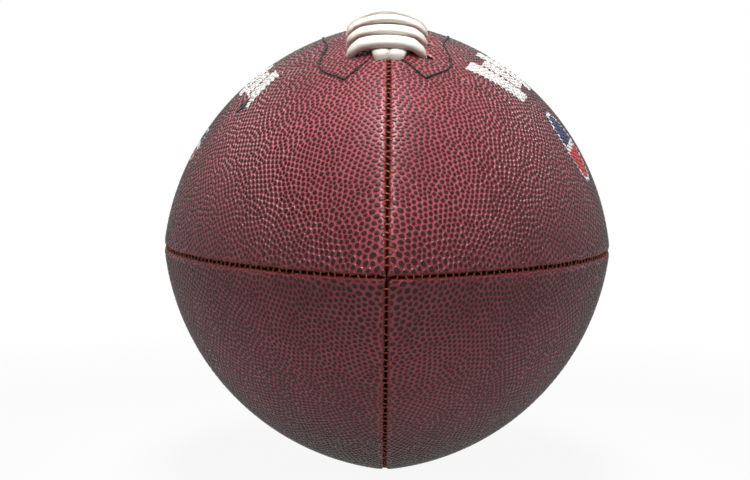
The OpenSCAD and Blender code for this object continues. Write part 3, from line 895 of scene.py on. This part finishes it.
def thread(name, colour, glint):
    finish = Finish(name, Roughness=0.6, Specular_IOR_Level=0.3)
    twist = finish.noise(*TWIST_NOISE)
    finish.set("Base Color", finish.mix(twist.step(*CLOUD_BAND), linear(colour), linear(glint)))
    finish.bump(twist, TWIST_DEPTH)
    return finish.material


seam_thread = thread("seam_thread", "8e3c26", "c06f4e")
SEAMS = {
    "top": (21, 0, slit_half, ["seam_stitching_top_front", "seam_stitching_top_rear"]),
    "right": (22, math.pi / 2, 0, ["seam_stitching_right"]),
    "bottom": (23, math.pi, 0, ["seam_stitching_bottom"]),
    "left": (24, 3 * math.pi / 2, 0, ["seam_stitching_left"]),
}
for where, (seed, turn, skip_half, nodes) in SEAMS.items():
    stitches = seam_stitches(seed, turn, skip_half)
    piece_from(stitches, "seam_thread_" + where, seam_thread, nodes)

# %% [markdown]
# The facing is a second layer of leather inside, where the lace holes are. A black thread holds it along
# a wavy outline with a sharp corner towards each tip, and shows on the pebbles as a thin line.

# %% A smooth curve through points
def curve_through(points, steps):
    """Catmull-Rom: a point's slope is that from the point before it to the one after."""
    before = np.concatenate([[2 * points[0] - points[1]], points[:-1]])
    after = np.concatenate([points[1:], [2 * points[-1] - points[-2]]])
    slope = (after - before) / 2
    t = np.linspace(0, 1, steps, endpoint=False)[:, None]
    found = []
    for a, b, p, q in zip(points, points[1:], slope, slope[1:]):
        found.append((2 * t**3 - 3 * t**2 + 1) * a + (t**3 - 2 * t**2 + t) * p
                     + (3 * t**2 - 2 * t**3) * b + (t**3 - t**2) * q)
    return np.concatenate([*found, points[-1:]])


print("curve: two points and two steps give", len(curve_through(np.eye(2), 2)), "places")

# %% Stitch line of the lace facing
FACING_WIDTH = 24.4
FACING_HALF = 75.0
FACING_SHARES = np.array([[0.26, 0.865], [0.6, 1], [0.88, 0.87], [0.97, 0.8], [1, 0.72], [0.97, 0.62],
                          [0.91, 0.5], [0.92, 0.4], [0.98, 0.25], [1, 0.1]])
FACING_SHIFT = -1.4
FACING_STEPS = 24
FACING_PITCH = 2.9
FACING_LENGTH = 2.7
FACING_THREAD = 0.85
FACING_SIZES = FACING_THREAD * np.array([0.6, 1, 1, 1, 0.6])
FACING_LIFTS = 0.12 + np.array([-0.35, -0.02, 0.03, -0.02, -0.35])
NEARBY = 0.1


def on_leather(flat, east=0, north=0):
    """Places carried up to the upper right panel."""
    return np.array([(x + east, y + north, surface_height(x + east, y + north)) for x, y in flat])


def facing_stitches(side):
    near = FACING_SHARES * (FACING_WIDTH, -FACING_HALF)
    far = near[::-1] * (1, -1)
    body = curve_through(np.concatenate([near[1:], far[:-1]]), FACING_STEPS)
    ends = np.linspace(0, 1, FACING_STEPS)[:, None]
    path = np.concatenate([near[0] + (near[1] - near[0]) * ends[:-1], body,
                           (far[-2] + (far[-1] - far[-2]) * ends)[1:]])
    path = path + (side * FACING_SHIFT, 0)
    run = np.concatenate([[0], np.cumsum(np.linalg.norm(np.diff(on_leather(path), axis=0), axis=1))])
    bm = bmesh.new()
    for start in np.arange(0, run[-1] - FACING_LENGTH, FACING_PITCH):
        at = start + np.linspace(0, FACING_LENGTH, len(FACING_SIZES))
        flat = np.stack([np.interp(at, run, line) for line in path.T], -1)
        centres = on_leather(flat)
        east = on_leather(flat, east=NEARBY) - centres
        up = unit(np.cross(east, on_leather(flat, north=NEARBY) - centres))
        way = unit(np.gradient(centres, axis=0))
        raised = centres + up * FACING_LIFTS[:, None]
        sweep(bm, raised, np.cross(way, up), up, FACING_SIZES, FACING_SIZES)
    if side < 0:
        bmesh.ops.scale(bm, vec=(-1, 1, 1), verts=bm.verts)
    return to_ball(bm)


facing_thread = thread("facing_thread", "0d0b0a", "1c1817")
for where, side in {"right": 1, "left": -1}.items():
    name = "facing_thread_" + where
    piece_from(facing_stitches(side), name, facing_thread, ["facing_stitching_" + where])

# %% [markdown]
# The lace is one flat vinyl strap. Two lengths of it run along the slit, and it crosses them eight times
# from hole to hole. It is plump over the middle and draws together to a round where it goes down a hole.
# A plain arch would look like a staple, so shaped ends are joined to it.

# %% Sizes of the lace
BAR_WIDTH = 8.2
BAR_THICK = 3.1
STRAND_WIDTH = 6.6
STRAND_THICK = 2.1
STRAND_INSET = 3.2
UNDER_WIDTH = 4.0
UNDER_THICK = 1.2
LAYER_GAP = 0.1
FACING_WALL = 1.1
LACE_SIDES = 28
LACE_POWER = 2.3
SIDEWAYS = np.array([1, 0, 0])
hole_drop = SEAM_RADIUS - surface_height(HOLE_OFFSET, 0)
strand_drop = SEAM_RADIUS - surface_height(STRAND_OFFSET, 0)
strand_tilt = math.asin((STRAND_OFFSET + own_axis / math.sqrt(2)) / (PANEL_RADIUS + own_axis))
hole_tilt = math.asin((HOLE_OFFSET + own_axis / math.sqrt(2)) / (PANEL_RADIUS + own_axis))
bar_foot = BAR_THICK / 2 - hole_drop
bar_rise = STRAND_THICK + 2 * LAYER_GAP + BAR_THICK / 2 - bar_foot
bar_arc = (HOLE_OFFSET**2 + bar_rise**2) / (2 * bar_rise)
under_drop = LEATHER_WALL + 3 * LAYER_GAP + FACING_WALL + UNDER_THICK / 2
print("lace: a bar rises", round(bar_rise, 2), "mm between its holes")

# %% Directions along the lace, and how far it is drawn down
RISE_SHARES = np.array([1, 3, 5, 7]) / 7
LACE_RISES = [0.7, -0.5, -1.5, -0.8]


def seam_frame(angle):
    """Origin on the top seam's arc, and the directions along it and out of the ball."""
    out = np.array([0, math.sin(angle), math.cos(angle)])
    ahead = np.array([0, math.cos(angle), -math.sin(angle)])
    return np.array([0, 0, SEAM_RADIUS - seam_arc]) + seam_arc * out, ahead, out


def tipped(out, tilt):
    """The directions across and out of the ball, tipped sideways by an angle."""
    return math.cos(tilt) * SIDEWAYS - math.sin(tilt) * out, math.cos(tilt) * out + math.sin(tilt) * SIDEWAYS


def rise(angle):
    """How far the lace stands over its even height: most at mid length."""
    return np.interp(np.abs(angle) / bar_angles[-1], RISE_SHARES, LACE_RISES)


print("lace: raised", float(rise(0)), "mm at mid length and", float(rise(end_angle)), "at its ends")

# %% A cross bar
ARCH_POINTS = 9
ARCH_MARGIN = 3.7
BAR_ENDS = np.array([[-2.4, 0.7], [-1.2, -0.6], [-0.3, -2.2], [0.0, -3.8], [0.0, -6.2]])
BAR_END_WIDTHS = [8.0, 7.6, 6.6, 5.0, 4.4]
BAR_END_HEIGHTS = [2.6, 2.9, 3.2, 3.4, 3.4]
BAR_END_SWELLS = np.array([1, 0.8, 0.5, 0.2, 0])
BAR_SHIFT = -0.9
BAR_REACHES = [14.3, 14.3, 13.8, 13.3]
BAR_SWELLS = [0, 0, 0, 0.9]
SKEW_AND_SHIFT = (0.05, 0.5)


def lace_bar(bm, angle, chance):
    """A bar from hole to hole, a little askew. The two end bars are the thickest."""
    origin, ahead, out = seam_frame(angle)
    share = abs(angle) / bar_angles[-1]
    reach = np.interp(share, RISE_SHARES, BAR_REACHES)
    swell = np.interp(share, RISE_SHARES, BAR_SWELLS)
    spread_x = np.linspace(0, reach - ARCH_MARGIN, ARCH_POINTS)
    arch = np.stack([spread_x, bar_foot + bar_rise - bar_arc + np.sqrt(bar_arc**2 - spread_x**2)], -1)
    half = np.concatenate([arch, BAR_ENDS + (reach, 0)])
    half[:, 1] += (rise(angle) - swell / 2) * np.cos(half[:, 0] / reach * math.pi / 2)
    path = np.concatenate([half[:0:-1] * (-1, 1), half])
    widths = np.array([BAR_WIDTH] * len(arch) + BAR_END_WIDTHS)
    heights = np.array([BAR_THICK + swell] * len(arch) + list(BAR_END_HEIGHTS + swell * BAR_END_SWELLS))
    widths, heights = [np.concatenate([v[:0:-1], v]) for v in (widths, heights)]
    skew, shift = (chance.random(2) - 0.5) * SKEW_AND_SHIFT
    fade = np.clip(1 - np.abs(path[:, 0]) / HOLE_OFFSET, 0, 1)
    centres = origin + np.outer(path[:, 0] + BAR_SHIFT, SIDEWAYS) + np.outer(path[:, 1], out)
    centres = centres + np.outer(path[:, 0] * skew * fade + shift * fade, ahead)
    way = unit(np.gradient(centres, axis=0))
    wide = unit(ahead - (way @ ahead)[:, None] * way)
    sweep(bm, centres, wide, np.cross(wide, way), widths, heights, LACE_SIDES, LACE_POWER)


print("bars: each reaches", BAR_REACHES[0], "mm at mid length and", BAR_REACHES[-1], "at the ends")

# %% A lengthwise strand and a run underneath
STRAND_POINTS = 61
STRAND_ENDS_CUT = 3
STRAND_PINCH = 0.8
PINCH_SHARES = [0.85, 0.93]
UNDER_POINTS = 5
# Steps down an end hole: mm past it, drop, distance from the seam, width and thickness.
STRAND_TURNS = [(-2.6, 0.1, 3.15, 6.6, 2.5), (-1.5, 0.1, 3.05, 6.5, 2.9), (-0.6, 0.9, 2.85, 6.1, 3.1),
                (-0.1, 2.6, 2.6, 5.5, 3.1), (0.0, 6.0, 2.4, 4.6, 3.1)]


def lace_strand(bm, side):
    """One strand along the slit, pressed flat under the end bars and led down the end holes."""
    steps = np.linspace(-end_angle, end_angle, STRAND_POINTS)[STRAND_ENDS_CUT:-STRAND_ENDS_CUT]
    lift = (STRAND_THICK / 2 + LAYER_GAP) / math.cos(strand_tilt) - strand_drop
    level = []
    for angle in steps:
        pinch = STRAND_PINCH * np.interp(abs(angle) / bar_angles[-1], PINCH_SHARES, [0, 1])
        here = lift + rise(angle) - pinch / 2
        level.append((angle, here, STRAND_INSET, STRAND_WIDTH, STRAND_THICK - pinch))
    low = lift + LACE_RISES[-1]
    head = [(-end_angle - past / seam_arc, low - drop, *size) for past, drop, *size in STRAND_TURNS[::-1]]
    tail = [(end_angle + past / seam_arc, low - drop, *size) for past, drop, *size in STRAND_TURNS]
    centres, across = [], []
    parts = head + level + tail
    for angle, lift_here, offset, _, _ in parts:
        origin, _, out = seam_frame(angle)
        centres.append(origin + side * offset * SIDEWAYS + lift_here * out)
        across.append(tipped(out, side * strand_tilt)[0])
    way = unit(np.gradient(np.array(centres), axis=0))
    widths, heights = np.array([part[3:] for part in parts]).T
    sweep(bm, centres, across, np.cross(way, across), widths, heights, LACE_SIDES, LACE_POWER)


def under_run(bm, side, start, end):
    """A hidden run of the lace under the facing, between two holes of one side."""
    low = -hole_drop - under_drop / math.cos(hole_tilt)
    frames = [seam_frame(angle) for angle in np.linspace(start, end, UNDER_POINTS)]
    centres = [origin + side * HOLE_OFFSET * SIDEWAYS + low * out for origin, _, out in frames]
    across, ups = zip(*[tipped(out, side * hole_tilt) for _, _, out in frames])
    widths, heights = [UNDER_WIDTH] * UNDER_POINTS, [UNDER_THICK] * UNDER_POINTS
    sweep(bm, centres, across, ups, widths, heights, LACE_SIDES, LACE_POWER)


print("strands:", STRAND_WIDTH, "mm wide, and", STRAND_PINCH, "mm thinner under the end bars")

# %% The whole lace, and its finish
LACE_CLOUDS = (60.0, 2.0)
LACE_GRAIN = (500.0, 3.0)
LACE_GRAIN_DEPTH = 0.00012


def lace_vinyl():
    vinyl = Finish("lace", Roughness=0.42, Specular_IOR_Level=0.35)
    cloud = vinyl.noise(*LACE_CLOUDS)
    vinyl.set("Base Color", vinyl.mix(cloud.step(*CLOUD_BAND), linear("d8d2c8"), linear("e2ddd4")))
    vinyl.bump(vinyl.noise(*LACE_GRAIN), LACE_GRAIN_DEPTH)
    return vinyl.material


chance = np.random.default_rng(31)
lace = bmesh.new()
for angle in bar_angles:
    lace_bar(lace, angle, chance)
for side in (-1, 1):
    lace_strand(lace, side)
    for start, end in list(zip(bar_angles, bar_angles[1:]))[(side > 0)::2]:
        under_run(lace, side, start, end)
piece_from(to_ball(lace), "lace_strap", lace_vinyl(), ["lace"])

# %% [markdown]
# ## Inside the ball
#
# The inner pieces keep their construction shapes, since finer ones would never be seen. They get the
# finish of the real thing: woven cotton, split leather and rubber.

# %% Finishes of the inner pieces
WEAVE_SHARE = 0.35
WEAVE_BAND = (0.2, 0.8)
YARN_NOISE = (160.0, 3.0)
YARN_DEPTH = 0.0001
GRAIN_FINER = 12


def woven(name, light, dark, yarn):
    cloth = Finish(name, Roughness=0.9, Specular_IOR_Level=0.1)
    places = cloth.place()
    rows = [cloth.axis(places, name) for name in "XYZ"]
    weave = (rows[1] * yarn).maths("SINE") * ((rows[0] + rows[2]) * yarn).maths("SINE")
    shade = weave * WEAVE_SHARE + cloth.noise(*YARN_NOISE)
    cloth.set("Base Color", cloth.mix(shade.step(*WEAVE_BAND), linear(dark), linear(light)))
    cloth.bump(weave, YARN_DEPTH)
    return cloth.material


def mottled(name, light, dark, scale, roughness, grain):
    """Split leather or moulded rubber, clouded and finely grained."""
    plain = Finish(name, Roughness=roughness, Specular_IOR_Level=0.3)
    cloud = plain.noise(scale, 3.0).step(*CLOUD_BAND)
    plain.set("Base Color", plain.mix(cloud, linear(dark), linear(light)))
    plain.bump(plain.noise(scale * GRAIN_FINER, 2.0), grain)
    return plain.material


split_leather = mottled("facing", "b79a7c", "97795d", 90.0, 0.85, 0.0001)
INNER = {
    "lining_stitching": thread("lining_thread", "c9bfa8", "e0d8c4"),
    "lining": woven("lining_cloth", "d8cfbe", "b9ae9a", 5000.0),
    "lace_facing": split_leather,
    "lace_tongue": split_leather,
    "valve_backing": split_leather,
    "bladder": mottled("bladder_rubber", "1c1b1b", "121212", 60.0, 0.7, 0.00005),
    "valve_": mottled("valve_rubber", "201e1d", "141313", 120.0, 0.5, 0.00004),
}
for node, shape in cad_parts.items():
    finish = next((INNER[start] for start in INNER if node.startswith(start)), None)
    if finish:
        for index in range(len(shape.material_slots)):
            shape.material_slots[index].material = finish
        print(node + ":", finish.name)

# %% [markdown]
# ## Floor and background
#
# The photograph is cut out on white. A plain white floor would throw light up at the ball and wash out
# the deep red of its lower half, so most of the white is a glow that only the camera and the gloss see.

# %% Floor
FLOOR_HALF = 4.0
FLOOR_GREY = (0.5, 0.5, 0.5, 1)
SHADOW_SHARE = 0.08
SHADOW_FADE = (0.16, 0.5)


def seen(nodes):
    """1 for rays that see the background, and 0 for those that light other things."""
    kinds = ["Is Camera Ray", "Is Glossy Ray", "Is Transmission Ray"]
    camera_ray, glossy_ray, through_ray = [nodes.node("ShaderNodeLightPath", {}, {}, kind) for kind in kinds]
    return camera_ray.most(glossy_ray).most(through_ray)


paper = Finish("floor", Base_Color=FLOOR_GREY, Roughness=1.0, Specular_IOR_Level=0.0)
ground = [paper.axis(paper.place(), name) for name in "XY"]
away = (ground[0] * ground[0] + ground[1] * ground[1]).maths("SQRT")
white_share = seen(paper) * (1 - SHADOW_SHARE + SHADOW_SHARE * away.step(*SHADOW_FADE))
matt = Value(paper, paper.shader.outputs[0])
glow = paper.node("ShaderNodeEmission", {}, {"Color": (1, 1, 1, 1), "Strength": 1.0})
mixed = paper.node("ShaderNodeMixShader", {}, {0: white_share, 1: matt, 2: glow})
paper.put(paper.tree.nodes["Material Output"].inputs["Surface"], mixed)
ground_bm = bmesh.new()
bmesh.ops.create_grid(ground_bm, x_segments=1, y_segments=1, size=FLOOR_HALF)
object_from(ground_bm, "floor", paper.material)
print("floor:", 2 * FLOOR_HALF, "m wide, and near the ball", SHADOW_SHARE, "of its white takes shadow")

# %% [markdown]
# ## Lamps and the world
#
# The photograph's light is small, soft and overhead. It gives each pebble of the upper half a bright
# crescent and leaves the lower half deep red. One large lamp would lose the crescents, so two small ones
# stand over the ball and before it, with a weak fill. Their power is low, because the white lace clips
# long before the leather does.

# %% Lamps
LAMP_SPREAD = math.radians(50)
LAMPS = {
    "overhead": ((0, 0.08, 1.1), (0.34, 0.34), 0.95, LAMP_SPREAD),
    "front_top": ((0, -0.42, 1.02), (0.3, 0.2), 0.62, LAMP_SPREAD),
    "front_fill": ((0, -1.6, 0.7), (1.0, 0.6), 2.4, math.pi),
}
ball_centre = Vector((0, 0, AXIS_HEIGHT))
for name, (place, size, power, beam) in LAMPS.items():
    data = bpy.data.lights.new(name, "AREA")
    data.shape = "RECTANGLE"
    data.size, data.size_y = size
    data.energy = power
    data.spread = beam
    light = bpy.data.objects.new(name, data)
    light.location = place
    light.rotation_euler = (ball_centre - Vector(place)).to_track_quat("-Z", "Y").to_euler()
    scene.collection.objects.link(light)
    print("lamp:", name, power, "W")

# %% The white world
WORLD_LIGHT = 0.06
world = bpy.data.worlds.new("studio")
scene.world = world
world.use_nodes = True
sky = Nodes(world.node_tree)
backdrop = sky.tree.nodes["Background"]
sky.put(backdrop.inputs["Color"], (1, 1, 1, 1))
sky.put(backdrop.inputs["Strength"], WORLD_LIGHT + (1 - WORLD_LIGHT) * seen(sky))
scene.view_settings.view_transform = "Standard"
print("world: white to the camera, and", WORLD_LIGHT, "of that as light")
